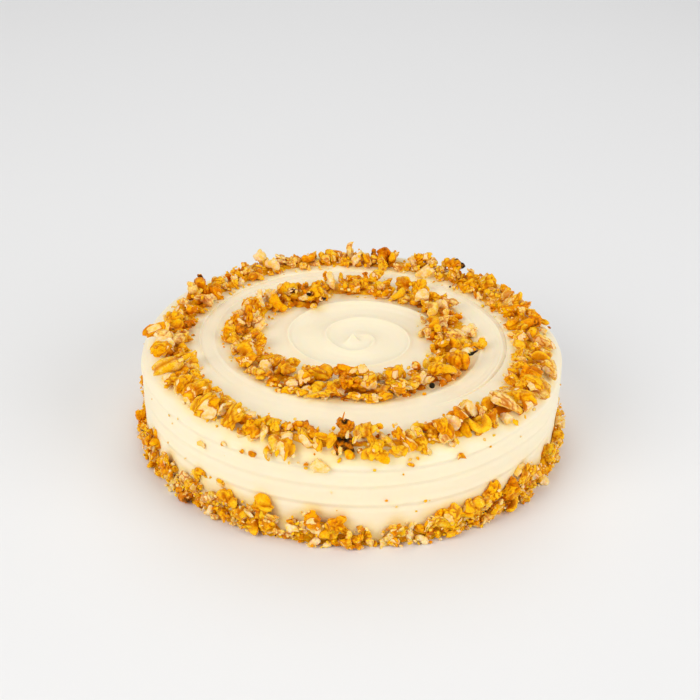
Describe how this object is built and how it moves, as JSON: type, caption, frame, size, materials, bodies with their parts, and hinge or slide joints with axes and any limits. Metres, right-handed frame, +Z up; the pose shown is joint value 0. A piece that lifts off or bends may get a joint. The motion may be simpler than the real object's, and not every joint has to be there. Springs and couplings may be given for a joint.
{
  "type": "carrot cake",
  "caption": "Whole round carrot cake, frosted all over with a swirled top, and chopped walnuts in two rings on top and in a band around the foot.",
  "frame": {"origin": "centre of the cake's flat bottom", "axes": "+Z up, -Y towards the front, +X to the right as seen from the front"},
  "size_m": [0.217, 0.2171, 0.0621],
  "materials": {
    "frosting": "soft cream cheese frosting, satin",
    "walnut": "broken walnut, brown skin and pale kernel"
  },
  "bodies": {
    "root": {"frosted_cake": "frosting", "walnut_ring_outer": "walnut", "walnut_ring_inner": "walnut", "walnut_band_base": "walnut"}
  },
  "joints": []
}
